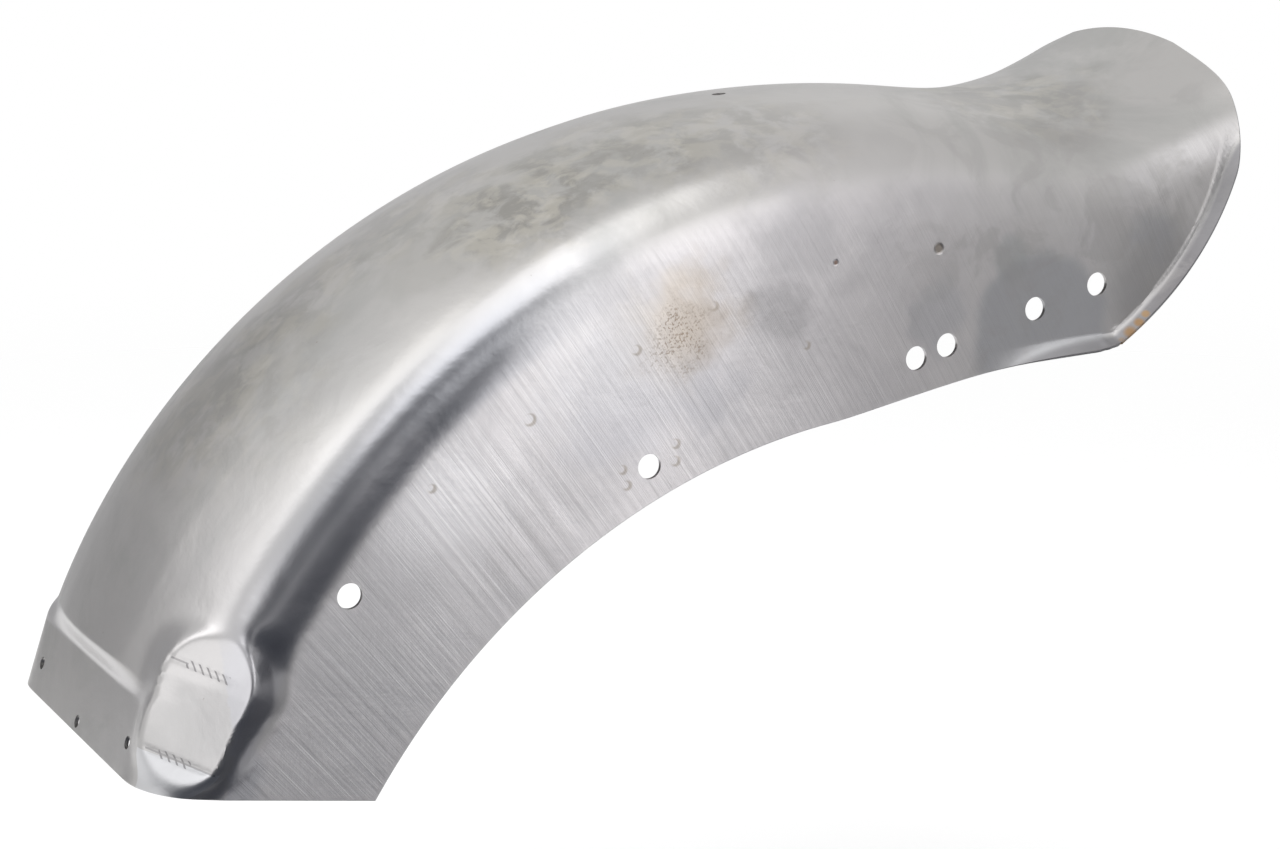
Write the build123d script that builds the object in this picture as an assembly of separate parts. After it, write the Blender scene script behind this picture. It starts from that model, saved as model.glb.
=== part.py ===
"""Bobtail rear fender: one pressed sheet-steel shell, open below for the wheel.

Frame: origin at the centre of the two front tab screw holes, on the mid-plane.
+X runs rearward, +Y to the right-hand side, +Z up. Millimetres.
"""
from math import acos, asin, cos, dist, hypot, pi, radians, sin
import os

from build123d import *

# sheet and width
gauge = 1.8
half_width = 97.0            # mid-plane to the outer face of a skirt

# sweep about the wheel centre, seen from the side
crown_front = -62.7          # crown line: degrees from the vertical, rearward positive
crown_rear = 21.6
edge_front = -57.04          # lower edge of the skirts, same measure
edge_rear = 18.2

# crown line
crown_radius = 446.9
crown_start_x = -17.7        # where the crown arc would start under the tab's cut edge
crown_start_z = -6.5
front_tuck = 27.6            # crown radius lost at the front
front_run = 0.627            # station where that loss ends
tail_rise = 56.4             # upsweep of the tail at the rim
tail_start = 0.806
tail_power = 2.85

# lower edge
skirt_depth = 136.7          # crown radius less the radius of the lower edge
edge_rise = 36.6
edge_start = 0.66
edge_power = 1.6

# flat screw tab at the front
tab_lean = 18.7              # degrees from the vertical
tab_below = 14.0             # origin down to the cut edge
tab_above = 18.1             # origin up to the joggle
tab_end = 0.0526             # station of the joggle
joggle_run = 0.014
tab_corner = 26.0
pad_end = 0.13               # station where the corner has its full shoulder

# cross-section
dome_front = 262.0           # crown dome radius at the front, middle and rim
dome_mid = 240.0
dome_rear = 205.0
shoulder_front = 20.0
shoulder_rear = 30.5
overhang = 4.2               # shoulder beyond the skirt at the front
overhang_full = 0.20         # it fades between these stations
overhang_end = 0.46
fillet_front = 24.0          # hollow fillet under the shoulder
fillet_rear = 60.0
min_bend = 8.0               # shortest run kept for that fillet along the profile

# rim of the tail
rim_bow = 23.5               # rearward belly of the rim in side view
rim_start = 0.80
lip_out = 6.0
lip_width = 9.5
lip_power = 1.2              # near 1 the lip is a flat flange, at 2 it rolls
corner_cut = 3.5             # the lower rear corner is rounded off by this much over this run
corner_run = 12.0
lip_start = 0.84             # the lip runs forward along the lower edge to here
lip_top = 25.0               # depth below the crown where the rim's lip begins and is full
lip_full = 60.0

# raised pad pressed in the left front corner
pad_x = 17.4
pad_inset = 3.9              # its centre lies this far inside the skirt's face
pad_z = 18.6
pad_normal = (-0.67, -0.71, 0.21)
pad_half_run = 12.5
pad_radius = 19.0
pad_slope = 10.0
pad_cap_drop = 0.10          # fall of the upper lobe beyond the flat
pad_reach = 45.0             # sheet deeper than this under the pad is left as it is

# holes
strut_radius = 5.5
# along the lower edge from its front end, and up from it as a share of the skirt depth
strut_holes = [(0.14315, 0.46317), (0.44062, 0.11178), (0.76497, 0.12459),
               (0.80186, 0.13621), (0.90231, 0.18278), (0.96799, 0.23067)]
tab_hole_radius = 2.75
tab_spread = 125.0
tab_centre_drop = 9.2        # middle hole below the outer two
seat_radius = 3.2
seat_station = 0.676
drill_run = 15.0             # a drill reaches this far past the sheet on each side

# point spacing of the skin
front_step = 0.0045          # station spacing at the front, along the body and at the rim
body_step = 0.045
rim_step = 0.004
step_growth = 0.25
dome_cols = 9
shoulder_cols = 16
skirt_cols = 6
lip_cols = 4


def ease(a, b, x):
    t = min(max((x - a) / (b - a), 0.0), 1.0)
    return t * t * (3.0 - 2.0 * t)


def ramp(a, x, power):
    return max((x - a) / (1.0 - a), 0.0) ** power


def mix(a, b, t):
    return a + (b - a) * t


# the wheel centre follows from the crown's front end, so the tab stays on the crown
front_radius = crown_radius - front_tuck
wheel_x = crown_start_x - front_radius * sin(radians(crown_front))
wheel_z = crown_start_z - front_radius * cos(radians(crown_front))
edge_radius = crown_radius - skirt_depth
side_run = (crown_radius + edge_radius) / 2.0 * radians((crown_rear - crown_front + edge_rear - edge_front) / 2.0)


def polar(radius, angle):
    return (wheel_x + radius * sin(radians(angle)), wheel_z + radius * cos(radians(angle)))


tab_dir = (sin(radians(tab_lean)), cos(radians(tab_lean)))


def formed(u):
    """0 on the flat tab, 1 where the crown is fully domed."""
    return ease(tab_end, tab_end + joggle_run, u)


def crown_point(u):
    along = mix(-tab_below, tab_above, u / tab_end)
    tab = (tab_dir[0] * along, tab_dir[1] * along)
    loss = max(1.0 - max(u - tab_end, 0.0) / (front_run - tab_end), 0.0) ** 2
    radius = crown_radius - front_tuck * loss + tail_rise * ramp(tail_start, u, tail_power)
    dome = polar(radius, mix(crown_front, crown_rear, u))
    w = formed(u)
    return (mix(tab[0], dome[0], w), mix(tab[1], dome[1], w))


def edge_point(u, above=0.0):
    radius = edge_radius + edge_rise * ramp(edge_start, u, edge_power) + above
    return polar(radius, mix(edge_front, edge_rear, u))


def half_section(u, length):
    """Half profile at a station: (offset from mid-plane, depth below crown)."""
    w = formed(u)
    rear = ease(0.55, 1.0, u)
    front = 1.0 - ease(0.08, 0.55, u)
    fade = 1.0 - ease(overhang_full, overhang_end, u)
    corner = ease(tab_end, pad_end, u)
    out = overhang * fade * corner + 1e-4
    bend = w * ((1.0 - rear - front) / dome_mid + rear / dome_rear + front / dome_front)
    dome = 1.0 / (bend + (1.0 - w) * 1e-5)
    shoulder = mix(tab_corner, mix(shoulder_front, shoulder_rear, ease(0.2, 0.7, u)), corner)
    fillet = mix(fillet_rear, fillet_front, fade)
    reach = half_width + out
    turn = acos(1.0 - out / (shoulder + fillet))
    join = asin((reach - shoulder) / (dome - shoulder))
    centre = dome - (dome - shoulder) * cos(join)
    foot = centre + (shoulder + fillet) * sin(turn)
    arcs = (dome * join, shoulder * (pi / 2.0 + turn - join), fillet * turn, length - foot)
    whole = sum(arcs)
    bend_end = arcs[0] + arcs[1] + max(arcs[2], min_bend)
    runs = [arcs[0] * k / dome_cols for k in range(dome_cols)]
    runs += [mix(arcs[0], bend_end, k / shoulder_cols) for k in range(shoulder_cols)]
    runs += [mix(bend_end, whole - lip_width, k / skirt_cols) for k in range(skirt_cols)]
    runs += [whole - lip_width * (1.0 - k / lip_cols) for k in range(lip_cols + 1)]
    points = []
    for run in runs:
        if run < arcs[0]:
            a = run / dome
            points.append((dome * sin(a), 2.0 * dome * sin(a / 2.0) ** 2))
            continue
        run -= arcs[0]
        if run < arcs[1]:
            a = join + run / shoulder
            points.append((reach - shoulder + shoulder * sin(a), centre - shoulder * cos(a)))
            continue
        run -= arcs[1]
        if run < arcs[2]:
            a = turn - run / fillet
            points.append((half_width + fillet * (1.0 - cos(a)), foot - fillet * sin(a)))
            continue
        points.append((half_width, foot + run - arcs[2]))
    return points


def pressed_pad(x, y, z):
    """Flatten the left front corner to the raised pad."""
    n = Vector(*pad_normal).normalized()
    long = (Vector(tab_dir[0], 0, tab_dir[1]) - n * n.dot(Vector(tab_dir[0], 0, tab_dir[1]))).normalized()
    wide = n.cross(long)
    q = Vector(x, y, z) - Vector(pad_x, pad_inset - half_width, pad_z)
    height = q.dot(n)
    if height < -pad_reach:
        return (x, y, z)
    along = q.dot(long)
    beyond = max(abs(along) - pad_half_run, 0.0)
    away = hypot(beyond, q.dot(wide)) - pad_radius
    fall = pad_cap_drop * max(along - pad_half_run, 0.0)
    lift = (1.0 - ease(0.0, pad_slope, away)) * (-fall - height)
    p = Vector(x, y, z) + n * lift
    return (p.X, p.Y, p.Z)


def side_row(u):
    """Half profile set in the side view: (x, offset from mid-plane, z, depth, depth left)."""
    top = crown_point(u)
    low = edge_point(u)
    run = (low[0] - top[0], low[1] - top[1])
    full = hypot(*run)
    down = (run[0] / full, run[1] / full)
    length = full - corner_cut * max(1.0 - (1.0 - u) * side_run / corner_run, 0.0) ** 2
    belly = rim_bow * ramp(rim_start, u, 2.0)
    half = []
    for y, d in half_section(u, length):
        s = d / full
        b = belly * 4.0 * s * (1.0 - s)
        half.append((top[0] + down[0] * d - down[1] * b, y, top[1] + down[1] * d + down[0] * b, d, length - d))
    return half


rim_row = side_row(1.0)


def skin_row(u):
    """Points across the fender at a station, left lower edge to right lower edge."""
    half = []
    for (x, y, z, d, left_over), end in zip(side_row(u), rim_row):
        to_rim = hypot(end[0] - x, end[2] - z)
        side_lip = max(1.0 - to_rim / lip_width, 0.0) ** lip_power * ease(lip_top, lip_full, d)
        low_lip = max(1.0 - left_over / lip_width, 0.0) ** lip_power * ease(lip_start, 1.0, u)
        half.append((x, y + lip_out * max(side_lip, low_lip), z))
    left = [pressed_pad(x, -y, z) for x, y, z in reversed(half[1:])]
    return left + half


stations = [0.0]
while stations[-1] < 1.0:
    u = stations[-1]
    grow = front_step + step_growth * max(u - pad_end, 0.0)
    shrink = rim_step + step_growth * (1.0 - u)
    stations.append(u + min(body_step, grow, shrink))
stations = [u / stations[-1] for u in stations]

outer_rows = [skin_row(u) for u in stations]
last_row = len(outer_rows) - 1
last_col = len(outer_rows[0]) - 1


def inner_point(i, j):
    """Point one gauge below the outer skin, square to it."""
    ahead = Vector(*outer_rows[min(i + 1, last_row)][j]) - Vector(*outer_rows[max(i - 1, 0)][j])
    across = Vector(*outer_rows[i][min(j + 1, last_col)]) - Vector(*outer_rows[i][max(j - 1, 0)])
    p = Vector(*outer_rows[i][j]) + across.cross(ahead).normalized() * gauge
    return (p.X, p.Y, p.Z)


inner_rows = [[inner_point(i, j) for j in range(last_col + 1)] for i in range(last_row + 1)]
middle = last_col // 2


def mean_run(j):
    """Mean distance between two neighbouring points of the right half, over all stations."""
    return sum(dist(row[j], row[j + 1]) for row in outer_rows) / len(outer_rows)


# spline parameters follow the mean run along the profile
half_steps = [mean_run(j) for j in range(middle, last_col)]
steps = half_steps[::-1] + half_steps
knots = [sum(steps[:j]) / sum(steps) for j in range(last_col + 1)]


def across(row):
    return Edge.make_spline([Vector(*p) for p in row], parameters=knots)


def lofted(rows):
    return Shell.make_loft([Wire([across(row)]) for row in rows]).faces()[0]


outer = lofted(outer_rows)
inner = lofted(inner_rows)


def rim_strip(near):
    """Ruled strip of one gauge that closes a free edge of the sheet."""
    a = outer.edges().sort_by_distance(near)[0]
    b = inner.edges().sort_by_distance(near)[0]
    return Face.make_surface_from_curves(a, b)


ends = [outer_rows[0][middle], outer_rows[last_row][middle]]
ends += [outer_rows[last_row // 2][0], outer_rows[last_row // 2][last_col]]
strips = [rim_strip(p) for p in ends]
shell = Solid(Shell([outer, inner] + strips))

# strut holes run straight through both skirts
drills = []
for station, share in strut_holes:
    hx, hz = edge_point(station, share * skirt_depth)
    axis = Plane(origin=(hx, 0, hz), z_dir=(0, 1, 0))
    drills.append(axis * Cylinder(strut_radius, 2.0 * (half_width + drill_run)))

# tab holes square to the tab
tab_out = (-tab_dir[1], 0, tab_dir[0])
for y, along in ((-tab_spread / 2, 0.0), (tab_spread / 2, 0.0), (0.0, -tab_centre_drop)):
    spot = (tab_dir[0] * along, y, tab_dir[1] * along)
    drills.append(Plane(origin=spot, z_dir=tab_out) * Cylinder(tab_hole_radius, 2.0 * drill_run))

# seat screw hole square to the crown
seat = crown_point(seat_station)
seat_dir = (seat[0] - wheel_x, 0, seat[1] - wheel_z)
drills.append(Plane(origin=(seat[0], 0, seat[1]), z_dir=seat_dir) * Cylinder(seat_radius, 2.0 * drill_run))

fender = shell.cut(*drills)

os.makedirs("parts", exist_ok=True)
export_step(fender, "parts/fender_shell.step")
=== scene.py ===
import math

import bmesh
import bpy
import numpy as np
from mathutils import Matrix, Vector


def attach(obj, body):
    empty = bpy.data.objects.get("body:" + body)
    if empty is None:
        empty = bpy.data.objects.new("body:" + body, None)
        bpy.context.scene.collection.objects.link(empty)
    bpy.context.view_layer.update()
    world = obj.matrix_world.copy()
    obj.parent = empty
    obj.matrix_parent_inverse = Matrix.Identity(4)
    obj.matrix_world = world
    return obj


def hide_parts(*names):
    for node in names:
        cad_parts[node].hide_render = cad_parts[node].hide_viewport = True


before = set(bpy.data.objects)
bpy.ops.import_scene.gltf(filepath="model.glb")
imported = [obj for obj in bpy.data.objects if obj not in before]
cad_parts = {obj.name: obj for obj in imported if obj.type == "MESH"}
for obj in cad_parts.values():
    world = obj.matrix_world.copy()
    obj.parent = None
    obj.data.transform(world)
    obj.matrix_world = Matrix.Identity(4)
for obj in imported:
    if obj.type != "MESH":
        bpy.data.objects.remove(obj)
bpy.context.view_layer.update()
scene = bpy.context.scene

# The fender shell: one blank of sheet steel about 1.8 mm thick, drawn over a former to a
# domed crown, flat skirts, a joggled screw tab at the front and an upswept flared tail.
# It is worked out here station by station in millimetres, then set in metres.
gauge = 1.8
half_width = 97.0
crown_sweep = (-62.7, 21.6)
edge_sweep = (-57.04, 18.2)
crown_radius, front_tuck, front_run = 446.9, 27.6, 0.627
tail_rise, tail_start, tail_power = 56.4, 0.806, 2.85
skirt_depth = 136.7
edge_rise, edge_start, edge_power = 36.6, 0.66, 1.6
tab_lean = math.radians(18.7)
tab_below, tab_above, tab_end, joggle_run = 14.0, 18.1, 0.0526, 0.014
crown_start = (-17.7, -6.5)
dome_front, dome_mid, dome_rear = 262.0, 240.0, 205.0
shoulder_tab, shoulder_front, shoulder_rear = 26.0, 20.0, 30.5
overhang, fillet_front, fillet_rear, min_bend = 4.2, 24.0, 60.0, 8.0
rim_bow, rim_start = 23.5, 0.80
lip_out, lip_width, lip_power, lip_start = 6.0, 9.5, 1.2, 0.84
corner_cut, corner_run, crown_length = 3.5, 12.0, 527.0
dome_cols, shoulder_cols, skirt_cols, lip_cols = 28, 36, 46, 10
even_passes, tail_passes = 24, 160
edge_radius = crown_radius - skirt_depth
front_radius = crown_radius - front_tuck
wheel = np.array([crown_start[0] - front_radius * math.sin(math.radians(crown_sweep[0])),
                  crown_start[1] - front_radius * math.cos(math.radians(crown_sweep[0]))])
tab_dir = np.array([math.sin(tab_lean), math.cos(tab_lean)])


def ease(a, b, x):
    t = np.clip((x - a) / (b - a), 0.0, 1.0)
    return t * t * (3.0 - 2.0 * t)


def ramp(a, x, power):
    return np.clip((x - a) / (1.0 - a), 0.0, None) ** power


def mix(a, b, t):
    return a + (b - a) * t


def polar(radius, sweep, u):
    angle = np.radians(mix(sweep[0], sweep[1], u))
    return np.stack([wheel[0] + radius * np.sin(angle), wheel[1] + radius * np.cos(angle)], -1)


def crown_line(u):
    along = mix(-tab_below, tab_above, u / tab_end)[:, None] * tab_dir
    loss = np.clip(1.0 - np.clip(u - tab_end, 0.0, None) / (front_run - tab_end), 0.0, None) ** 2
    radius = crown_radius - front_tuck * loss + tail_rise * ramp(tail_start, u, tail_power)
    w = ease(tab_end, tab_end + joggle_run, u)[:, None]
    return mix(along, polar(radius, crown_sweep, u), w)


def edge_line(u):
    return polar(edge_radius + edge_rise * ramp(edge_start, u, edge_power), edge_sweep, u)


def half_profiles(u, length):
    """Half cross-sections at all stations: offsets from the mid-plane and depths below the crown."""
    w = ease(tab_end, tab_end + joggle_run, u)
    rear, front = ease(0.55, 1.0, u), 1.0 - ease(0.08, 0.55, u)
    fade = 1.0 - ease(0.20, 0.46, u)
    corner = ease(tab_end, 0.13, u)
    out = overhang * fade * ease(0.05, 0.085, u) + 1e-4
    bend = (1.0 - rear - front) / dome_mid + rear / dome_rear + front / dome_front
    dome = 1.0 / (w * bend + (1.0 - w) * 1e-5)
    shoulder = mix(shoulder_tab, mix(shoulder_front, shoulder_rear, ease(0.2, 0.7, u)), corner)
    fillet = mix(fillet_rear, fillet_front, fade)
    reach = half_width + out
    turn = np.arccos(1.0 - out / (shoulder + fillet))
    join = np.arcsin((reach - shoulder) / (dome - shoulder))
    centre = dome - (dome - shoulder) * np.cos(join)
    foot = centre + (shoulder + fillet) * np.sin(turn)
    a0, a1, a2 = dome * join, shoulder * (math.pi / 2.0 + turn - join), fillet * turn
    whole = a0 + a1 + a2 + length - foot
    bend_end = a0 + a1 + np.maximum(a2, min_bend)
    runs = [a0 * (1.0 - (1.0 - k / dome_cols) ** 1.4) for k in range(dome_cols)]
    runs += [mix(a0, bend_end, k / shoulder_cols) for k in range(shoulder_cols)]
    runs += [mix(bend_end, whole - lip_width, k / skirt_cols) for k in range(skirt_cols)]
    runs += [whole - lip_width * (1.0 - k / (lip_cols - 1)) for k in range(lip_cols)]
    run = np.stack(runs, -1)
    dome, join, shoulder, reach, centre, turn, fillet, foot, a0, a1, a2 = (
        v[:, None] for v in (dome, join, shoulder, reach, centre, turn, fillet, foot, a0, a1, a2))
    crown_a = run / dome
    bend_a = join + (run - a0) / shoulder
    hollow_a = turn - (run - a0 - a1) / fillet
    places = [run < a0, run < a0 + a1, run < a0 + a1 + a2]
    offset = np.select(places, [dome * np.sin(crown_a), reach - shoulder + shoulder * np.sin(bend_a),
                                half_width + fillet * (1.0 - np.cos(hollow_a))], half_width)
    depth = np.select(places, [2.0 * dome * np.sin(crown_a / 2.0) ** 2, centre - shoulder * np.cos(bend_a),
                               foot - fillet * np.sin(hollow_a)], foot + run - a0 - a1 - a2)
    return offset, depth


stations = np.concatenate([np.linspace(0.0, 0.125, 72)[:-1], np.linspace(0.125, 0.88, 68)[:-1],
                           1.0 - 0.12 * np.linspace(1.0, 0.0, 46) ** 1.5])
crown, edge = crown_line(stations), edge_line(stations)
length = np.linalg.norm(edge - crown, axis=1)
down = (edge - crown) / length[:, None]
full = length
length = full - corner_cut * np.clip(1.0 - (1.0 - stations) * crown_length / corner_run, 0.0, None) ** 2
offset, depth = half_profiles(stations, length)
# the bends are evened out across the sheet, and the shoulder more so towards the tail
for _ in range(even_passes):
    for grid in (offset, depth):
        grid[:, 12:106] = 0.5 * grid[:, 12:106] + 0.25 * (grid[:, 11:105] + grid[:, 13:107])
tail_soft = 0.25 * ease(0.46, 0.72, stations)[:, None]
for _ in range(tail_passes):
    for grid in (offset, depth):
        grid[:, 12:106] += tail_soft * (grid[:, 11:105] + grid[:, 13:107] - 2.0 * grid[:, 12:106])
share = depth / full[:, None]
belly = (rim_bow * ramp(rim_start, stations, 2.0))[:, None] * 4.0 * share * (1.0 - share)
side_x = crown[:, :1] + down[:, :1] * depth - down[:, 1:] * belly
side_z = crown[:, 1:] + down[:, 1:] * depth + down[:, :1] * belly
to_rim = np.hypot(side_x - side_x[-1], side_z - side_z[-1])
rim_lip = np.clip(1.0 - to_rim / lip_width, 0.0, 1.0) ** lip_power * ease(25.0, 60.0, depth)
low_lip = np.clip(1.0 - (length[:, None] - depth) / lip_width, 0.0, 1.0) ** lip_power
low_lip = low_lip * ease(lip_start, 1.0, stations)[:, None]
offset = offset + lip_out * np.maximum(rim_lip, low_lip)
skin = np.stack([np.concatenate([side_x[:, :0:-1], side_x], 1),
                 np.concatenate([-offset[:, :0:-1], offset], 1),
                 np.concatenate([side_z[:, :0:-1], side_z], 1)], -1)
middle = offset.shape[1] - 1

# The raised pad pressed in the left front corner: a flat oval between two folds where the
# sheet has puckered, with a rounded lobe beyond each fold.
pad_centre = np.array([17.4, -93.1, 18.6])
pad_half_run, pad_radius, pad_lobe, pad_reach = 12.5, 20.5, 4.5, -45.0
upper_fold_at, lower_fold_at = 18.0, -20.0
pad_out = np.array([-0.67, -0.71, 0.21])
pad_out = pad_out / np.linalg.norm(pad_out)
pad_long = np.array([tab_dir[0], 0.0, tab_dir[1]])
pad_long = pad_long - pad_out * pad_out.dot(pad_long)
pad_long = pad_long / np.linalg.norm(pad_long)
pad_wide = np.cross(pad_out, pad_long)
left = skin[:, :middle]
q = left - pad_centre
up, along, wide = q @ pad_out, q @ pad_long, q @ pad_wide
near_pad = up > pad_reach
beyond = np.clip(np.abs(along) - pad_half_run, 0.0, None)
away = np.hypot(beyond, wide) - pad_radius - pad_lobe * ease(-16.0, 14.0, along) * ease(-2.0, 12.0, -wide)
slope = 4.5 - 2.0 * ease(0.0, 15.0, -wide)
lift = (1.0 - ease(-0.5, slope, away)) * (-0.10 * beyond * (along > 0.0) - up)
lift = np.where(near_pad, lift, 0.0)
left = left + lift[..., None] * pad_out
on_pad = (1.0 - ease(-6.0, 1.0, away)) * near_pad
dish = -0.8 * np.exp(-(along / 15.0) ** 2 - (wide / 13.0) ** 2)
ragged = 0.45 * np.sin(wide * 1.55) + 0.3 * np.sin(wide * 2.9 + 1.0)
upper_fold = -0.35 * np.exp(-(along - upper_fold_at - 0.06 * wide + ragged) ** 2) * ease(-19.0, -8.0, wide)
lower_fold = -0.4 * np.exp(-(along - lower_fold_at - 0.05 * wide + ragged * 0.7) ** 2)
lower_lobe = 0.11 * np.clip(-19.5 - along, 0.0, None)
left = left + ((dish + upper_fold + lower_fold + lower_lobe) * on_pad)[..., None] * pad_out
skin[:, :middle] = left
soften = (ease(-4.0, 1.0, away) * (1.0 - ease(9.0, 15.0, away)) * near_pad)[1:-1, 1:, None]
for _ in range(14):
    part = skin[:, :middle + 1]
    mean = (part[:-2, 1:-1] + part[2:, 1:-1] + part[1:-1, :-2] + part[1:-1, 2:]) / 4.0
    skin[1:-1, 1:middle] = mix(part[1:-1, 1:-1], mean, 0.7 * soften)

# Two puckers in the left skirt, where the lip turns the lower rear corner.
for at, radius, deep, edge_soft in (((459.7, 133.0), 1.2, 0.9, 2.2), ((468.1, 137.4), 1.3, 0.9, 2.2)):
    gap = np.hypot(skin[..., 0] - at[0], skin[..., 2] - at[1])
    hit = (1.0 - ease(radius - edge_soft, radius + edge_soft, gap)) * (skin[..., 1] < -90.0)
    skin[..., 1] -= deep * hit


def sheet_normals(grid):
    ahead, across = np.gradient(grid, axis=0), np.gradient(grid, axis=1)
    n = np.cross(ahead, across)
    return n / np.linalg.norm(n, axis=-1, keepdims=True)


# The inner skin lies one gauge below the outer, and every free edge is closed by a strip
# with a small chamfer each side, as a sheared and filed edge has.
normal = sheet_normals(skin)
rows, cols = skin.shape[:2]
ring = [(0, j) for j in range(cols)] + [(i, cols - 1) for i in range(1, rows)]
ring += [(rows - 1, j) for j in range(cols - 2, -1, -1)] + [(i, 0) for i in range(rows - 2, 0, -1)]
ring_i, ring_j = np.array(ring).T
in_i, in_j = np.clip(ring_i, 1, rows - 2), np.clip(ring_j, 1, cols - 2)
outward = skin[ring_i, ring_j] - skin[in_i, in_j]
outward = outward / np.linalg.norm(outward, axis=1, keepdims=True)
chamfer = 0.4
rim_top = skin[ring_i, ring_j] - normal[ring_i, ring_j] * chamfer
rim_low = skin[ring_i, ring_j] - normal[ring_i, ring_j] * (gauge - chamfer)
inner = skin - normal * gauge
skin[ring_i, ring_j] -= outward * chamfer
inner[ring_i, ring_j] -= outward * chamfer
count = rows * cols
points = np.concatenate([skin.reshape(-1, 3), inner.reshape(-1, 3), rim_top, rim_low]) * 0.001
index = np.arange(count).reshape(rows, cols)
quads = np.stack([index[:-1, :-1], index[1:, :-1], index[1:, 1:], index[:-1, 1:]], -1).reshape(-1, 4)
faces = [quads, quads[:, ::-1] + count]
ring_at = ring_i * cols + ring_j
ring_no = np.arange(len(ring))
layers = [ring_at, 2 * count + ring_no, 2 * count + len(ring) + ring_no, count + ring_at]
for a, b in zip(layers[:-1], layers[1:]):
    faces.append(np.stack([a, np.roll(a, -1), np.roll(b, -1), b], -1))
faces = np.concatenate(faces)
shell_mesh = bpy.data.meshes.new("fender_sheet")
shell_mesh.from_pydata(points.tolist(), [], faces.tolist())
shell = bpy.data.objects.new("fender_sheet", shell_mesh)
scene.collection.objects.link(shell)
bm = bmesh.new()
bm.from_mesh(shell_mesh)
bmesh.ops.recalc_face_normals(bm, faces=bm.faces)
bm.to_mesh(shell_mesh)
bm.free()

# The drilled holes: six strut holes straight through both skirts, three screw holes square
# to the tab and one seat screw hole square to the crown. One drill is set on each centre.
strut_places = [(0.14315, 0.46317), (0.44062, 0.11178), (0.76497, 0.12459),
                (0.80186, 0.13621), (0.90231, 0.18278), (0.96799, 0.23067)]
strut_radius, tab_hole_radius, seat_radius = 5.5, 2.75, 3.2
tab_half_spread, tab_centre_drop, seat_station = 62.5, 9.2, 0.676
drill_sides = 56
drills = []
for station, height in strut_places:
    radius = edge_radius + edge_rise * ramp(edge_start, station, edge_power) + height * skirt_depth
    spot = polar(radius, edge_sweep, station)
    drills.append(((spot[0], 0.0, spot[1]), (0.0, 1.0, 0.0), strut_radius, 250.0))
for side, drop in ((-tab_half_spread, 0.0), (tab_half_spread, 0.0), (0.0, tab_centre_drop)):
    spot = -tab_dir * drop
    drills.append(((spot[0], side, spot[1]), (-tab_dir[1], 0.0, tab_dir[0]), tab_hole_radius, 30.0))
seat = crown_line(np.array([seat_station]))[0]
drills.append(((seat[0], 0.0, seat[1]), (seat[0] - wheel[0], 0.0, seat[1] - wheel[1]), seat_radius, 30.0))
drill_mesh = bpy.data.meshes.new("drill_centres")
drill_mesh.from_pydata([tuple(c * 0.001 for c in d[0]) for d in drills], [], [])
aim = drill_mesh.attributes.new("aim", "FLOAT_VECTOR", "POINT")
size = drill_mesh.attributes.new("size", "FLOAT_VECTOR", "POINT")
for k, (_, way, radius, reach) in enumerate(drills):
    aim.data[k].vector = Vector(way).normalized()
    size.data[k].vector = (radius * 0.001, radius * 0.001, reach * 0.001)
drill_set = bpy.data.objects.new("drill_set", drill_mesh)
scene.collection.objects.link(drill_set)
tree = bpy.data.node_groups.new("drills_on_centres", "GeometryNodeTree")
tree.interface.new_socket("Geometry", in_out="INPUT", socket_type="NodeSocketGeometry")
sides_in = tree.interface.new_socket("Sides", in_out="INPUT", socket_type="NodeSocketInt")
steel_in = tree.interface.new_socket("Material", in_out="INPUT", socket_type="NodeSocketMaterial")
tree.interface.new_socket("Geometry", in_out="OUTPUT", socket_type="NodeSocketGeometry")
gin, gout = tree.nodes.new("NodeGroupInput"), tree.nodes.new("NodeGroupOutput")
drill = tree.nodes.new("GeometryNodeMeshCylinder")
drill.inputs["Radius"].default_value = 1.0
drill.inputs["Depth"].default_value = 1.0
read_aim, read_size = (tree.nodes.new("GeometryNodeInputNamedAttribute") for _ in range(2))
for node, name in ((read_aim, "aim"), (read_size, "size")):
    node.data_type = "FLOAT_VECTOR"
    node.inputs["Name"].default_value = name
turn_to = tree.nodes.new("FunctionNodeAlignRotationToVector")
turn_to.axis = "Z"
place = tree.nodes.new("GeometryNodeInstanceOnPoints")
real = tree.nodes.new("GeometryNodeRealizeInstances")
paint = tree.nodes.new("GeometryNodeSetMaterial")
for a, b in ((gin.outputs["Sides"], drill.inputs["Vertices"]),
             (gin.outputs["Geometry"], place.inputs["Points"]),
             (drill.outputs["Mesh"], place.inputs["Instance"]),
             (read_aim.outputs["Attribute"], turn_to.inputs["Vector"]),
             (turn_to.outputs["Rotation"], place.inputs["Rotation"]),
             (read_size.outputs["Attribute"], place.inputs["Scale"]),
             (place.outputs["Instances"], real.inputs["Geometry"]),
             (real.outputs["Geometry"], paint.inputs["Geometry"]),
             (gin.outputs["Material"], paint.inputs["Material"]),
             (paint.outputs["Geometry"], gout.inputs["Geometry"])):
    tree.links.new(a, b)
steel = bpy.data.materials.new("bare_steel")
shell_mesh.materials.append(steel)
setting = drill_set.modifiers.new("drills", "NODES")
setting.node_group = tree
setting[sides_in.identifier] = drill_sides
setting[steel_in.identifier] = steel
bpy.context.view_layer.update()
depsgraph = bpy.context.evaluated_depsgraph_get()
drill_solid = bpy.data.meshes.new_from_object(drill_set.evaluated_get(depsgraph))
drill_set.modifiers.remove(setting)
drill_set.data = drill_solid
cut = shell.modifiers.new("holes", "BOOLEAN")
cut.operation, cut.solver, cut.object = "DIFFERENCE", "EXACT", drill_set
bpy.context.view_layer.update()
depsgraph = bpy.context.evaluated_depsgraph_get()
pierced = bpy.data.meshes.new_from_object(shell.evaluated_get(depsgraph))
shell.modifiers.remove(cut)
shell.data = pierced
bpy.data.objects.remove(drill_set)

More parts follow.
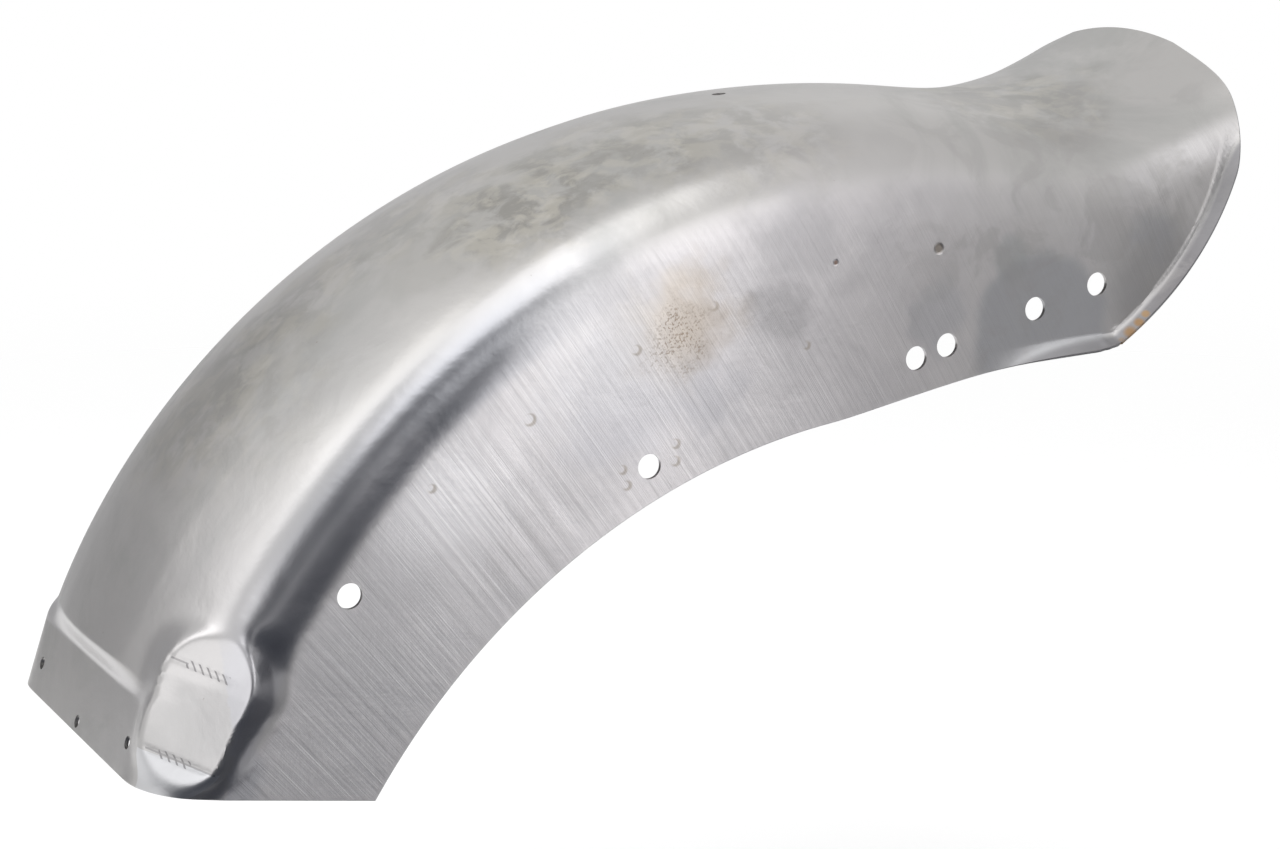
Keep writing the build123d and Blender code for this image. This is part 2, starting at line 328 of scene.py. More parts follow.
# Creases over 32 degrees stay sharp; the rest is smooth. Attributes tell the material where
# the skirts, the hollow, the dull rear shoulder with its painted shade, the joggle, the pad and the lip are,
# where the flat skirts get painted light, how far the sheet has sprung, and how the sanding belt ran across the
# skirts.
bm = bmesh.new()
bm.from_mesh(pierced)
for e in bm.edges:
    e.smooth = not (len(e.link_faces) == 2 and e.calc_face_angle(0.0) > math.radians(32.0))
for f in bm.faces:
    f.smooth = True
bm.to_mesh(pierced)
bm.free()
n_points = len(pierced.vertices)
place_of = np.zeros(n_points * 3)
pierced.vertices.foreach_get("co", place_of)
place_of = place_of.reshape(-1, 3)
facing = np.zeros(n_points * 3)
pierced.vertices.foreach_get("normal", facing)
facing = facing.reshape(-1, 3)
skirt = pierced.attributes.new("skirt", "FLOAT", "POINT")
from_wheel = place_of[:, [0, 2]] * 1000.0 - wheel
swept = np.degrees(np.arctan2(from_wheel[:, 0], from_wheel[:, 1]))
along_crown = np.clip((swept - crown_sweep[0]) / (crown_sweep[1] - crown_sweep[0]), 0.0, 1.0)
below_crown = np.hypot(*(crown_line(along_crown) - wheel).T) - np.hypot(*from_wheel.T)
aside = np.abs(place_of[:, 1]) * 1000.0
at_x, at_z = place_of[:, 0], place_of[:, 2]
flat_side = ease(94.0 - 6.0 * ease(0.22, 0.36, at_x), 95.0, aside) * (1.0 - ease(97.2, 98.2, aside))
rearward = ease(0.10, 0.22, at_x)
pad_frame = np.stack([pad_long, pad_wide, pad_out], -1)
pad_along, pad_across, pad_up = ((place_of * 1000.0 - pad_centre) @ pad_frame).T
beside_pad = (1.0 - ease(0.010, 0.050, at_z)) * (1.0 - ease(0.05, 0.09, at_x)) * (at_x > 0.015)
first = mix(mix(41.0, 26.0, rearward), 8.0, beside_pad)
last = mix(mix(52.0, 42.0, rearward), 20.0, beside_pad)
off_pad = 1.0 - ease(-14.0, -9.0, pad_up) * (np.abs(pad_along) < 45.0) * (np.abs(pad_across) < 36.0)
on_flat = flat_side * ease(first, last, below_crown) * off_pad
skirt.data.foreach_set("value", on_flat)
first = mix(first, mix(41.0, 18.0, rearward), rearward)
last = mix(last, mix(52.0, 46.0, rearward), rearward)
lean = 0.20 * (1.0 - ease(0.18, 0.42, at_x)) * ease(first, last, below_crown)
wall_foot = ease(97.0, 98.5, aside) * (1.0 - ease(100.0, 103.5, aside)) * (1.0 - ease(-8.0, -4.5, pad_up))
wall_foot = wall_foot * ease(0.018, 0.034, at_x) * (1.0 - ease(0.006, 0.032, at_z))
off_wall = mix(1.0, (1.0 - ease(97.2, 98.5, aside)) * off_pad, beside_pad)
lean = lean * (aside > 60.0) * (1.0 - ease(101.5, 103.0, aside)) * off_wall
lean = lean + 0.40 * wall_foot * beside_pad
pad_wall = ease(14.0, 26.0, pad_along) * (1.0 - ease(34.0, 46.0, pad_along)) * (1.0 - ease(-3.5, -1.5, pad_up))
pad_wall = pad_wall * ease(11.0, 17.0, -pad_across) * (1.0 - ease(22.0, 29.0, -pad_across)) * (pad_up > -30.0)
lean = lean - 0.38 * pad_wall
sprung = pierced.attributes.new("sprung", "FLOAT", "POINT")
sprung.data.foreach_set("value", lean)
# painted light: the flat skirts are painted paler, less so towards the tail, for the bright reflection they show
painted_skirt_light = pierced.attributes.new("painted_skirt_light", "FLOAT", "POINT")
painted_skirt_light.data.foreach_set("value", on_flat * (1.0 - 0.8 * ease(0.28, 0.44, at_x)))
hollow = pierced.attributes.new("hollow", "FLOAT", "POINT")
hollow.data.foreach_set("value", ease(14.0, 26.0, below_crown) * (1.0 - ease(44.0, 52.0, below_crown))
                        * (1.0 - ease(0.14, 0.24, at_x)) * (aside > 85.0) * (at_x > 0.03))
dull_and_shaded = pierced.attributes.new("dull_and_shaded", "FLOAT", "POINT")
rear_shoulder = (ease(0.22, 0.36, at_x) * (1.0 - ease(0.45, 0.51, at_x)) * ease(40.0, 80.0, aside)
                 * (1.0 - ease(36.0, 60.0, below_crown)))
on_crown = (1.0 - ease(14.0, 24.0, below_crown)) * (at_x > 0.03)
dull_and_shaded.data.foreach_set("value", np.maximum(rear_shoulder, 0.2 * on_crown))
up_tab = place_of[:, [0, 2]] @ tab_dir * 1000.0
narrow = ease(-82.0, -20.0, place_of[:, 1] * 1000.0)
strip = ease(17.0, 18.5, up_tab) * (1.0 - ease(20.0 + 7.5 * narrow, 21.5 + 8.0 * narrow, up_tab))
strip = strip * (facing[:, 0] < -0.5) * narrow ** 0.5
joggle = pierced.attributes.new("joggle", "FLOAT", "POINT")
joggle.data.foreach_set("value", strip)
pad_place = pierced.attributes.new("pad_place", "FLOAT_VECTOR", "POINT")
pad_place.data.foreach_set("vector", np.stack([pad_along, pad_across, pad_up], -1).ravel())
turned_out = pierced.attributes.new("lip", "FLOAT", "POINT")
turned_out.data.foreach_set("value", ease(97.6, 99.5, aside) * (at_x > 0.38))
belt_centre = np.array([1.37, -1.55])
from_centre = place_of[:, [0, 2]] - belt_centre
belt = np.stack([np.arctan2(from_centre[:, 0], from_centre[:, 1]) * 2.0,
                 np.hypot(from_centre[:, 0], from_centre[:, 1])], -1)
corner = np.zeros(len(pierced.loops), int)
pierced.loops.foreach_get("vertex_index", corner)
belt_map = pierced.uv_layers.new(name="belt")
belt_map.data.foreach_set("uv", belt[corner].ravel())

# Bare steel as it left the press shop: sanded streaks on the skirts, oily grey and straw
# coloured blotches on the crown, dried drops and a few specks of rust.
# Light and shade are also painted into this colour: the paler flat skirts, the hollow, the joggle strip, the lip,
# the rear shoulder, some patches on the skirts and the pad's folds and lower lobe.
steel.use_nodes = True
nodes, links = steel.node_tree.nodes, steel.node_tree.links


def new_group(name, inputs, outputs):
    group = bpy.data.node_groups.new(name, "ShaderNodeTree")
    for label, kind, value in inputs:
        socket = group.interface.new_socket(label, in_out="INPUT", socket_type=kind)
        if value is not None:
            socket.default_value = value
    for label, kind in outputs:
        group.interface.new_socket(label, in_out="OUTPUT", socket_type=kind)
    return group, group.nodes.new("NodeGroupInput"), group.nodes.new("NodeGroupOutput")


def add(tree_nodes, kind, **settings):
    node = tree_nodes.new(kind)
    for key, value in settings.items():
        setattr(node, key, value)
    return node


def maths(owner, operation, a, b=None):
    node = owner.nodes.new("ShaderNodeMath")
    node.operation = operation
    for k, v in enumerate((a, b)):
        if v is None:
            continue
        if isinstance(v, (int, float)):
            node.inputs[k].default_value = v
        else:
            owner.links.new(v, node.inputs[k])
    return node.outputs[0]


# sanding streaks: noise drawn out along the belt, in a coarse and a fine size
streaks, s_in, s_out = new_group(
    "sanding_streaks", [("Belt", "NodeSocketVector", None), ("Across", "NodeSocketFloat", 300.0),
                        ("Along", "NodeSocketFloat", 6.0)], [("Streak", "NodeSocketFloat")])
stretch = add(streaks.nodes, "ShaderNodeCombineXYZ")
streaks.links.new(s_in.outputs["Across"], stretch.inputs[0])
streaks.links.new(s_in.outputs["Along"], stretch.inputs[1])
drawn = add(streaks.nodes, "ShaderNodeVectorMath", operation="MULTIPLY")
streaks.links.new(s_in.outputs["Belt"], drawn.inputs[0])
streaks.links.new(stretch.outputs[0], drawn.inputs[1])
grain = add(streaks.nodes, "ShaderNodeTexNoise", noise_dimensions="2D")
grain.inputs["Scale"].default_value = 1.0
grain.inputs["Detail"].default_value = 4.0
grain.inputs["Roughness"].default_value = 0.62
streaks.links.new(drawn.outputs[0], grain.inputs["Vector"])
streaks.links.new(grain.outputs["Fac"], s_out.inputs["Streak"])

# blotches: broken noise between two levels
blotch, b_in, b_out = new_group(
    "blotches", [("Place", "NodeSocketVector", None), ("Scale", "NodeSocketFloat", 20.0),
                 ("Low", "NodeSocketFloat", 0.5), ("High", "NodeSocketFloat", 0.6),
                 ("Wander", "NodeSocketFloat", 1.0)], [("Mask", "NodeSocketFloat")])
cloud = add(blotch.nodes, "ShaderNodeTexNoise")
cloud.inputs["Detail"].default_value = 6.0
cloud.inputs["Roughness"].default_value = 0.6
limits = add(blotch.nodes, "ShaderNodeMapRange", interpolation_type="SMOOTHSTEP")
for a, b in ((b_in.outputs["Place"], cloud.inputs["Vector"]), (b_in.outputs["Scale"], cloud.inputs["Scale"]),
             (b_in.outputs["Wander"], cloud.inputs["Distortion"]), (cloud.outputs["Fac"], limits.inputs["Value"]),
             (b_in.outputs["Low"], limits.inputs["From Min"]), (b_in.outputs["High"], limits.inputs["From Max"]),
             (limits.outputs["Result"], b_out.inputs["Mask"])):
    blotch.links.new(a, b)

# a soft patch about one place, broken at its edge by the noise that comes in as Fray
patch, p_in, p_out = new_group(
    "patch", [("Place", "NodeSocketVector", None), ("Centre", "NodeSocketVector", None),
              ("Radius", "NodeSocketFloat", 0.02), ("Soft", "NodeSocketFloat", 0.02),
              ("Ragged", "NodeSocketFloat", 0.01), ("Fray", "NodeSocketFloat", 0.5)], [("Mask", "NodeSocketFloat")])
gap = add(patch.nodes, "ShaderNodeVectorMath", operation="DISTANCE")
patch.links.new(p_in.outputs["Place"], gap.inputs[0])
patch.links.new(p_in.outputs["Centre"], gap.inputs[1])
edge_off = maths(patch, "MULTIPLY", maths(patch, "SUBTRACT", p_in.outputs["Fray"], 0.5), p_in.outputs["Ragged"])
reach_to = maths(patch, "ADD", gap.outputs["Value"], edge_off)
fall = add(patch.nodes, "ShaderNodeMapRange", interpolation_type="SMOOTHSTEP")
patch.links.new(reach_to, fall.inputs["Value"])
for operation, limit in (("SUBTRACT", "From Min"), ("ADD", "From Max")):
    patch.links.new(maths(patch, operation, p_in.outputs["Radius"], p_in.outputs["Soft"]), fall.inputs[limit])
fall.inputs["To Min"].default_value = 1.0
fall.inputs["To Max"].default_value = 0.0
patch.links.new(fall.outputs["Result"], p_out.inputs["Mask"])

nodes.clear()
surface = add(nodes, "ShaderNodeOutputMaterial")
metal = add(nodes, "ShaderNodeBsdfPrincipled")
metal.inputs["Metallic"].default_value = 1.0
links.new(metal.outputs[0], surface.inputs[0])
where = add(nodes, "ShaderNodeTexCoord").outputs["Object"]
belt_uv = add(nodes, "ShaderNodeUVMap", uv_map="belt").outputs[0]
fray = add(nodes, "ShaderNodeTexNoise")
fray.inputs["Scale"].default_value = 60.0
fray.inputs["Detail"].default_value = 4.0
links.new(where, fray.inputs["Vector"])
on_skirt, skirt_painted_light, on_lip, hollow_painted_shade, joggle_scuff_and_light, dull_and_shaded_mask, sprung_up = (
    add(nodes, "ShaderNodeAttribute", attribute_name=name).outputs["Fac"]
    for name in ("skirt", "painted_skirt_light", "lip", "hollow", "joggle", "dull_and_shaded", "sprung"))


def use(group, **values):
    node = nodes.new("ShaderNodeGroup")
    node.node_tree = group
    for key, value in values.items():
        socket = node.inputs[key]
        if hasattr(value, "is_output"):
            links.new(value, socket)
        else:
            socket.default_value = value
    return node.outputs[0]


def tint(under, over, amount, blend="MIX"):
    node = nodes.new("ShaderNodeMix")
    node.data_type, node.blend_type = "RGBA", blend
    for value, socket in ((amount, node.inputs["Factor"]), (under, node.inputs[6]), (over, node.inputs[7])):
        if hasattr(value, "is_output"):
            links.new(value, socket)
        else:
            socket.default_value = value if isinstance(value, float) else (*value, 1.0)
    return node.outputs[2]


def calc(operation, a, b=None):
    return maths(steel.node_tree, operation, a, b)


def times(a, b):
    return calc("MULTIPLY", a, b)


def between(value, low, high):
    return times(calc("GREATER_THAN", value, low), calc("LESS_THAN", value, high))


def spot(centre, radius, soft, ragged):
    return use(patch, Place=where, Centre=centre, Radius=radius, Soft=soft, Ragged=ragged, Fray=fray.outputs["Fac"])


# painted light: the base colour is paler on the flat skirts, fading towards the tail, for their bright reflection
colour = tint((0.452, 0.441, 0.431), (0.705, 0.680, 0.690), skirt_painted_light)
coarse = use(streaks, Belt=belt_uv, Across=420.0, Along=4.0)
fine = use(streaks, Belt=belt_uv, Across=2600.0, Along=14.0)
off_skirt = calc("SUBTRACT", 1.0, on_skirt)

# crown: grey oil film in wide clouds, straw stains along the left flank, the hollow under the front shoulder
# painted darker and bluer as painted shade, and the joggle strip paler, partly scuffed and partly painted light
oil = use(blotch, Place=where, Scale=9.0, Low=0.45, High=0.62, Wander=0.8)
colour = tint(colour, (0.345, 0.345, 0.335), times(times(oil, off_skirt), 0.6))
straw = use(blotch, Place=where, Scale=70.0, Low=0.44, High=0.60, Wander=0.5)
for centre, radius in (((0.150, -0.041, 0.190), 0.026), ((0.178, -0.035, 0.207), 0.028),
                       ((0.213, -0.032, 0.222), 0.030), ((0.252, -0.046, 0.231), 0.020),
                       ((0.081, -0.003, 0.142), 0.030), ((0.056, 0.031, 0.112), 0.024)):
    film = spot(centre, radius, 0.010, 0.035)
    colour = tint(colour, (0.365, 0.357, 0.338), times(film, 0.45))
flank_film = spot((0.092, -0.060, 0.142), 0.030, 0.028, 0.03)
colour = tint(colour, (0.365, 0.362, 0.360), times(flank_film, 0.55))
broken = use(blotch, Place=where, Scale=55.0, Low=0.38, High=0.56, Wander=0.4)
for centre, radius, amount in (((0.162, 0.004, 0.201), 0.038, 0.25), ((0.184, -0.052, 0.206), 0.030, 0.5),
                               ((0.063, 0.019, 0.122), 0.045, 0.22), ((0.231, -0.035, 0.2275), 0.042, 0.3),
                               ((0.291, -0.060, 0.236), 0.040, 0.3), ((0.107, 0.009, 0.164), 0.032, 0.25),
                               ((0.45, -0.03, 0.235), 0.045, 0.35), ((0.075, -0.030, 0.120), 0.040, 0.15)):
    film = spot(centre, radius, 0.02, 0.05)
    colour = tint(colour, (0.25, 0.242, 0.222), times(times(film, broken), amount * 1.5))
    colour = tint(colour, (0.50, 0.475, 0.42), times(times(film, straw), amount * 1.2))
# painted shade: the hollow under the front shoulder is tinted darker and bluer, for the dark band it mirrors
colour = tint(colour, (0.400, 0.408, 0.445), times(hollow_painted_shade, 0.8))
# the joggle strip paler: partly scuffing, partly a painted highlight on a face turned towards the lamps
colour = tint(colour, (0.53, 0.52, 0.525), times(joggle_scuff_and_light, 0.8))

# skirts: sanding streaks, strongest ahead of the second strut hole
sanded = spot((0.145, -0.097, 0.060), 0.045, 0.040, 0.04)
sanded_low = spot((0.265, -0.097, 0.100), 0.040, 0.035, 0.04)
most_sanded = calc("MAXIMUM", sanded, times(sanded_low, 0.6))
amount = calc("ADD", 0.17, times(most_sanded, 0.65))
tone = calc("ADD", 0.45, times(coarse, 1.1))
broad = use(streaks, Belt=belt_uv, Across=130.0, Along=2.0)
colour = tint(colour, tone, times(on_skirt, amount), "MULTIPLY")
broad_tone = calc("ADD", 0.25, times(broad, 1.5))
colour = tint(colour, broad_tone, times(times(on_skirt, sanded), 0.8), "MULTIPLY")
clouds = use(blotch, Place=where, Scale=14.0, Low=0.40, High=0.68, Wander=0.5)
colour = tint(colour, (0.520, 0.508, 0.522), times(times(clouds, on_skirt), 0.55))
# patches on the skirts: darker, paler and rust-coloured ones; the painted light and shade among them is noted at
# each
for centre, radius, soft, ragged, shade, amount in (
        ((0.2380, -0.097, 0.1590), 0.020, 0.015, 0.05, (0.600, 0.520, 0.430), 0.7),
        # painted reflection: a dark round spot, as the slightly wavy plate mirrors its surroundings
        ((0.2895, -0.097, 0.1600), 0.013, 0.009, 0.03, (0.330, 0.322, 0.330), 0.7),
        ((0.2960, -0.097, 0.1900), 0.022, 0.014, 0.04, (0.430, 0.420, 0.435), 0.65),
        ((0.2520, -0.097, 0.1290), 0.018, 0.010, 0.04, (0.450, 0.448, 0.480), 0.5),
        ((0.2050, -0.097, 0.1300), 0.024, 0.016, 0.05, (0.560, 0.555, 0.600), 0.5),
        ((0.3400, -0.097, 0.1880), 0.012, 0.008, 0.04, (0.450, 0.440, 0.455), 0.5),
        # painted light: this patch and the next make the light zone of the front skirt paler
        ((0.1240, -0.097, 0.0910), 0.026, 0.020, 0.03, (0.860, 0.840, 0.855), 0.85),
        ((0.2000, -0.097, 0.1500), 0.030, 0.025, 0.04, (0.800, 0.785, 0.795), 0.5),
        ((0.2480, -0.097, 0.1560), 0.014, 0.010, 0.04, (0.450, 0.400, 0.360), 0.5),
        ((0.4930, -0.101, 0.1550), 0.030, 0.015, 0.00, (0.210, 0.206, 0.210), 0.6),
        ((0.4650, -0.097, 0.1900), 0.075, 0.050, 0.030, (0.390, 0.384, 0.386), 0.15),
        ((0.3350, -0.097, 0.1750), 0.065, 0.045, 0.040, (0.430, 0.415, 0.422), 0.5),
        # painted shade: the lower front of the skirt darker, where it mirrors the floor in the part's shadow
        ((0.0750, -0.097, 0.0150), 0.085, 0.055, 0.030, (0.480, 0.470, 0.480), 0.6),
        # painted reflection: a dark arc about the rear strut holes, as the slightly wavy plate mirrors its
        # surroundings
        ((0.4250, -0.097, 0.1420), 0.036, 0.005, 0.010, (0.300, 0.308, 0.330), 0.6),
        ((0.4080, -0.097, 0.1750), 0.010, 0.003, 0.008, (0.340, 0.350, 0.355), 0.55),
        ((0.4890, -0.097, 0.1810), 0.011, 0.006, 0.03, (0.310, 0.315, 0.335), 0.5),
        ((0.3680, -0.097, 0.1520), 0.014, 0.006, 0.03, (0.370, 0.375, 0.400), 0.4)):
    mark = spot(centre, radius, soft, ragged)
    colour = tint(colour, shade, times(mark, amount))

# the duller rear shoulder with a little painted shade, the lip painted darker as painted shade, the pale saddle and
# the smudged tail
# painted shade: the rear shoulder's colour is darkened a little to hold down its highlight; its roughness is raised
# too
colour = tint(colour, (0.95, 0.95, 0.95), dull_and_shaded_mask, "MULTIPLY")
# painted shade: the turned-out lip is painted an even darker grey, darker still near the lower rim, in place of the
# bright reflection it would show
on_lip = times(on_lip, 0.9)
colour = tint(colour, (0.280, 0.275, 0.285), on_lip)
lip_shade = spot((0.495, -0.103, 0.160), 0.022, 0.018, 0.0)
colour = tint(colour, (0.72, 0.71, 0.71), times(lip_shade, on_lip), "MULTIPLY")
saddle = spot((0.370, -0.020, 0.240), 0.055, 0.045, 0.02)
colour = tint(colour, (0.56, 0.545, 0.53), times(times(saddle, off_skirt), 0.30))

smudge = use(blotch, Place=where, Scale=38.0, Low=0.47, High=0.60, Wander=0.8)
tail_end = spot((0.450, -0.085, 0.195), 0.095, 0.045, 0.05)
colour = tint(colour, (0.345, 0.335, 0.330), times(times(smudge, tail_end), 0.38))

# rust: a speckled patch, pits, and the rubbed corner of the lip
specks = use(blotch, Place=where, Scale=900.0, Low=0.52, High=0.60, Wander=0.0)
speckled = spot((0.2390, -0.097, 0.1540), 0.011, 0.011, 0.04)
colour = tint(colour, (0.22, 0.16, 0.11), times(times(specks, speckled), 0.75))
for centre, radius, shade in (((0.3150, -0.097, 0.1802), 0.0010, (0.18, 0.11, 0.08)),
                              ((0.3687, -0.097, 0.1829), 0.0023, (0.24, 0.21, 0.18)),
                              ((0.4735, -0.101, 0.1360), 0.0035, (0.34, 0.21, 0.10)),
                              ((0.4690, -0.101, 0.1325), 0.0022, (0.36, 0.24, 0.13)),
                              ((0.4785, -0.101, 0.1405), 0.0024, (0.34, 0.21, 0.10)),
                              ((0.4820, -0.101, 0.1450), 0.0018, (0.36, 0.24, 0.13))):
    mark = spot(centre, radius, radius * 0.4, radius)
    colour = tint(colour, shade, times(mark, 0.85))
# drops that dried to faint brown rings
for drop_x, drop_z in ((0.2104, 0.0987), (0.2123, 0.0915), (0.2359, 0.1074), (0.2360, 0.0999), (0.2547, 0.1658),
                       (0.2171, 0.1499), (0.1669, 0.1247), (0.3008, 0.1445), (0.1222, 0.1002)):
    drop = spot((drop_x, -0.097, drop_z), 0.0023, 0.0006, 0.003)
    core = spot((drop_x - 0.0009, -0.097, drop_z + 0.0004), 0.0017, 0.0005, 0.003)
    brim = times(drop, calc("SUBTRACT", 1.0, core))
    colour = tint(colour, (0.34, 0.29, 0.24), times(brim, 0.6))
dust = use(blotch, Place=where, Scale=330.0, Low=0.72, High=0.76, Wander=0.0)
colour = tint(colour, (0.18, 0.14, 0.11), times(dust, 0.6))
# the pad's two folds: painted shade as a dark crease and short slanted marks for the small wrinkles, and a painted
# highlight making the lobe below paler
pad_axes = add(nodes, "ShaderNodeSeparateXYZ")
on_axes = add(nodes, "ShaderNodeAttribute", attribute_name="pad_place")
links.new(on_axes.outputs["Vector"], pad_axes.inputs[0])
on_x, on_y, on_z = (pad_axes.outputs[axis] for axis in "XYZ")
flush = calc("LESS_THAN", calc("ABSOLUTE", on_z), 6.0)
wrinkle_shade = None
for fold, slope, first, last, crease_first, crease_last in (
        (upper_fold_at, 0.06, -12.0, 8.0, 7.0, 15.0), (lower_fold_at, 0.05, -6.0, 9.0, -17.0, 15.0)):
    off_fold = calc("SUBTRACT", on_x, calc("ADD", fold, times(on_y, slope)))
    from_fold = calc("ABSOLUTE", off_fold)
    lane = times(times(calc("LESS_THAN", from_fold, 1.7), between(on_y, first, last)), flush)
    slant = calc("ADD", on_y, times(off_fold, -0.9))
    teeth = calc("GREATER_THAN", calc("SINE", times(slant, 1.75)), 0.6)
    crease = times(times(calc("LESS_THAN", from_fold, 0.4), between(on_y, crease_first, crease_last)), flush)
    one_wrinkle_shade = calc("MAXIMUM", times(lane, teeth), times(crease, 0.8))
    wrinkle_shade = one_wrinkle_shade if wrinkle_shade is None else calc("MAXIMUM", wrinkle_shade, one_wrinkle_shade)
lobe_painted_light = times(calc("LESS_THAN", on_x, -20.5), calc("LESS_THAN", calc("ABSOLUTE", on_y), 19.0))
lobe_painted_light = times(lobe_painted_light, calc("LESS_THAN", calc("ABSOLUTE", on_z), 3.0))
colour = tint(colour, (0.570, 0.575, 0.595), times(lobe_painted_light, 0.7))
colour = tint(colour, (0.17, 0.165, 0.17), times(wrinkle_shade, 0.75))
links.new(colour, metal.inputs["Base Color"])

# roughness, and a bump whose normal leans where the sheet has sprung
brushed = calc("ADD", -0.02, times(fine, 0.18))
rough = calc("ADD", 0.31, times(on_skirt, brushed))
for mask, more in ((oil, 0.06), (on_lip, 0.25), (dull_and_shaded_mask, 0.20)):
    rough = calc("ADD", rough, times(mask, more))
links.new(rough, metal.inputs["Roughness"])
wavy = use(blotch, Place=where, Scale=30.0, Low=0.2, High=0.8, Wander=0.3)
grooves = calc("ADD", fine, times(coarse, 2.0))
height = calc("ADD", times(grooves, times(on_skirt, 0.3)), wavy)
# a blind drill spot and a pit in the left skirt
for centre, radius, deep in (((0.3687, -0.097, 0.1826), 0.0022, 2.6), ((0.3150, -0.097, 0.1803), 0.0012, 1.6)):
    dent = use(patch, Place=where, Centre=centre, Radius=radius, Soft=radius * 0.35, Ragged=0.0)
    height = calc("SUBTRACT", height, times(dent, deep))
bump = add(nodes, "ShaderNodeBump")
bump.inputs["Strength"].default_value = 0.3
bump.inputs["Distance"].default_value = 0.0006
links.new(height, bump.inputs["Height"])
lean_up = add(nodes, "ShaderNodeCombineXYZ")
links.new(sprung_up, lean_up.inputs[2])
leaning = add(nodes, "ShaderNodeVectorMath", operation="ADD")
links.new(add(nodes, "ShaderNodeNewGeometry").outputs["Normal"], leaning.inputs[0])
links.new(lean_up.outputs[0], leaning.inputs[1])
links.new(leaning.outputs[0], bump.inputs["Normal"])
links.new(bump.outputs[0], metal.inputs["Normal"])
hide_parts("fender_shell")
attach(shell, "root")

# The stage: a pale round floor below the part, whose edge fades into the white around it.
floor_centre = (0.25, 0.0, -0.22)
floor_mesh = bpy.data.meshes.new("floor")
bm = bmesh.new()
bmesh.ops.create_circle(bm, cap_ends=True, segments=96, radius=2.6)
bm.to_mesh(floor_mesh)
bm.free()
floor_mesh.transform(Matrix.Translation(floor_centre))
floor = bpy.data.objects.new("floor", floor_mesh)
scene.collection.objects.link(floor)
pale = bpy.data.materials.new("pale_floor")
pale.use_nodes = True
floor_mesh.materials.append(pale)
fn, fl = pale.node_tree.nodes, pale.node_tree.links
matt = fn["Principled BSDF"]
matt.inputs["Base Color"].default_value = (0.93, 0.93, 0.93, 1.0)
matt.inputs["Roughness"].default_value = 0.9
matt.inputs["Specular IOR Level"].default_value = 0.0
away_from = add(fn, "ShaderNodeVectorMath", operation="DISTANCE")
away_from.inputs[1].default_value = floor_centre
fl.new(add(fn, "ShaderNodeTexCoord").outputs["Object"], away_from.inputs[0])
fade_out = add(fn, "ShaderNodeMapRange", interpolation_type="SMOOTHSTEP")
fade_out.inputs["From Min"].default_value = 0.9
fade_out.inputs["From Max"].default_value = 2.5
fl.new(away_from.outputs["Value"], fade_out.inputs["Value"])
clear = add(fn, "ShaderNodeBsdfTransparent")
blend_out = add(fn, "ShaderNodeMixShader")
fl.new(fade_out.outputs["Result"], blend_out.inputs[0])
fl.new(matt.outputs[0], blend_out.inputs[1])
fl.new(clear.outputs[0], blend_out.inputs[2])
fl.new(blend_out.outputs[0], fn["Material Output"].inputs[0])

# Studio light: white surroundings and five soft boxes, two above, two at the left and one at
# the right. Dark and grey cards, seen by the metal alone, give the bands that it mirrors.
world = bpy.data.worlds.new("studio")
scene.world = world
world.use_nodes = True
wn, wl = world.node_tree.nodes, world.node_tree.links
wn.clear()
shown, lit = wn.new("ShaderNodeBackground"), wn.new("ShaderNodeBackground")
shown.inputs["Color"].default_value = (1.0, 1.0, 1.0, 1.0)
shown.inputs["Strength"].default_value = 1.0
lit.inputs["Color"].default_value = (1.0, 1.0, 1.0, 1.0)
lit.inputs["Strength"].default_value = 1.0
path = wn.new("ShaderNodeLightPath")
seen = maths(world.node_tree, "MAXIMUM", path.outputs["Is Camera Ray"], path.outputs["Is Glossy Ray"])
seen = maths(world.node_tree, "MAXIMUM", seen, path.outputs["Is Transmission Ray"])
pick = wn.new("ShaderNodeMixShader")
wl.new(seen, pick.inputs[0])
wl.new(lit.outputs[0], pick.inputs[1])
wl.new(shown.outputs[0], pick.inputs[2])
wl.new(pick.outputs[0], wn.new("ShaderNodeOutputWorld").inputs[0])


def soft_box(name, place, target, width, height, watts):
    lamp = bpy.data.lights.new(name, "AREA")
    lamp.shape, lamp.size, lamp.size_y, lamp.energy = "RECTANGLE", width, height, watts
    holder = bpy.data.objects.new(name, lamp)
    scene.collection.objects.link(holder)
    holder.location = place
    holder.rotation_euler = (Vector(target) - Vector(place)).to_track_quat("-Z", "Y").to_euler()
    holder.visible_camera = False


soft_box("overhead_box", (0.08, -0.62, 1.20), (0.12, -0.05, 0.12), 0.90, 1.2, 4.6)
soft_box("crown_box", (-0.55, 0.15, 1.20), (0.10, 0.0, 0.1), 0.8, 0.7, 2.4)
soft_box("flank_box", (-1.0, 0.32, 0.88), (0.05, -0.06, 0.1), 0.75, 0.7, 1.6)
soft_box("left_box", (-1.05, -0.75, 0.25), (0.05, -0.05, 0.05), 0.6, 0.7, 1.45)
soft_box("right_box", (1.05, -1.45, 0.72), (0.25, -0.10, 0.15), 0.75, 1.15, 2.9)


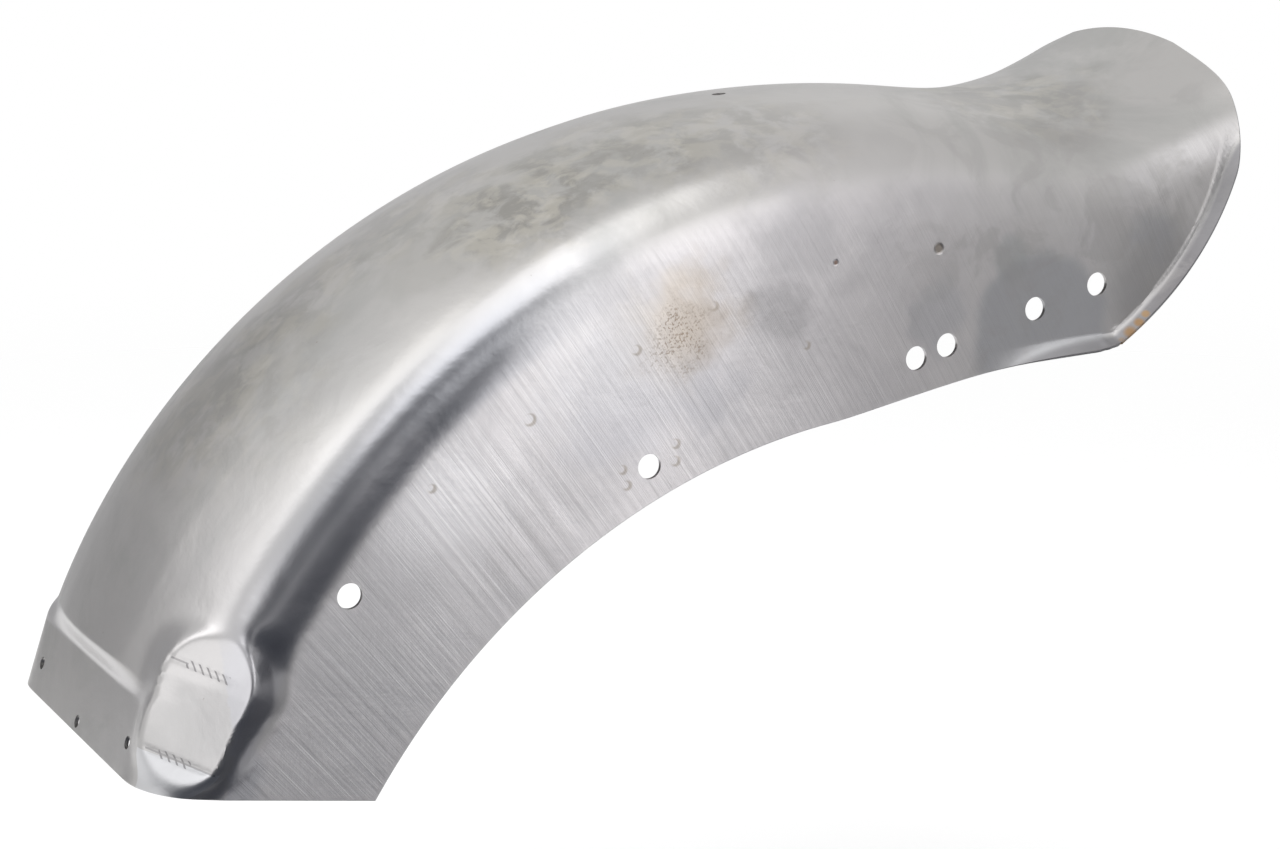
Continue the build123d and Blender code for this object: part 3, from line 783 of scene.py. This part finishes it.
def mirror_card(name, corners, colour):
    """A card that only the metal sees, as black and grey cards do in a photographer's set."""
    mesh = bpy.data.meshes.new(name)
    mesh.from_pydata(corners, [], [tuple(range(len(corners)))])
    felt = bpy.data.materials.new(name)
    felt.use_nodes = True
    felt.node_tree.nodes["Principled BSDF"].inputs["Base Color"].default_value = (*colour, 1.0)
    felt.node_tree.nodes["Principled BSDF"].inputs["Roughness"].default_value = 0.9
    mesh.materials.append(felt)
    card = bpy.data.objects.new(name, mesh)
    scene.collection.objects.link(card)
    card.visible_camera = card.visible_diffuse = card.visible_shadow = False


def upright(start, end, low, high):
    return [(*start, low), (*end, low), (*end, high), (*start, high)]


dark_felt = (0.05, 0.055, 0.07)
mirror_card("floor_card", [(-0.6, -1.10, -0.2), (1.10, -1.66, -0.2), (0.88, -1.00, -0.2), (0.88, -0.05, -0.2),
                           (-0.6, -0.05, -0.2)], dark_felt)
mirror_card("camera_card", upright((-0.9, -1.60), (0.40, -1.60), -0.1, 1.1), dark_felt)
mirror_card("low_card", [(0.40, -1.65, -0.2), (1.10, -1.65, -0.2), (1.10, -1.65, -0.03), (0.76, -1.65, -0.03),
                         (0.76, -1.65, 0.28), (0.40, -1.65, 0.28)], dark_felt)
mirror_card("side_card", upright((1.45, -1.05), (1.45, 0.60), -0.2, 0.55), (0.20, 0.205, 0.22))
mirror_card("tail_card", upright((1.12, -1.70), (1.90, -1.20), -0.2, 0.45), (0.42, 0.41, 0.41))
mirror_card("back_card", upright((-1.6, 1.40), (0.15, 1.40), -0.2, 0.8), (0.42, 0.42, 0.43))
mirror_card("far_card", upright((0.15, 1.40), (2.2, 1.40), -0.2, 0.8), (0.62, 0.62, 0.63))

# The camera stands at the left front, a little above the part.
camera_data = bpy.data.cameras.new("camera")
camera_data.sensor_width = 36.0
camera_data.lens = 77.344
camera = bpy.data.objects.new("camera", camera_data)
scene.collection.objects.link(camera)
camera.location = (-0.3126, -1.1082, 0.3617)
camera.rotation_euler = Vector((0.45473, 0.86577, -0.20897)).to_track_quat("-Z", "Y").to_euler()
scene.camera = camera
scene.view_settings.view_transform = "Standard"
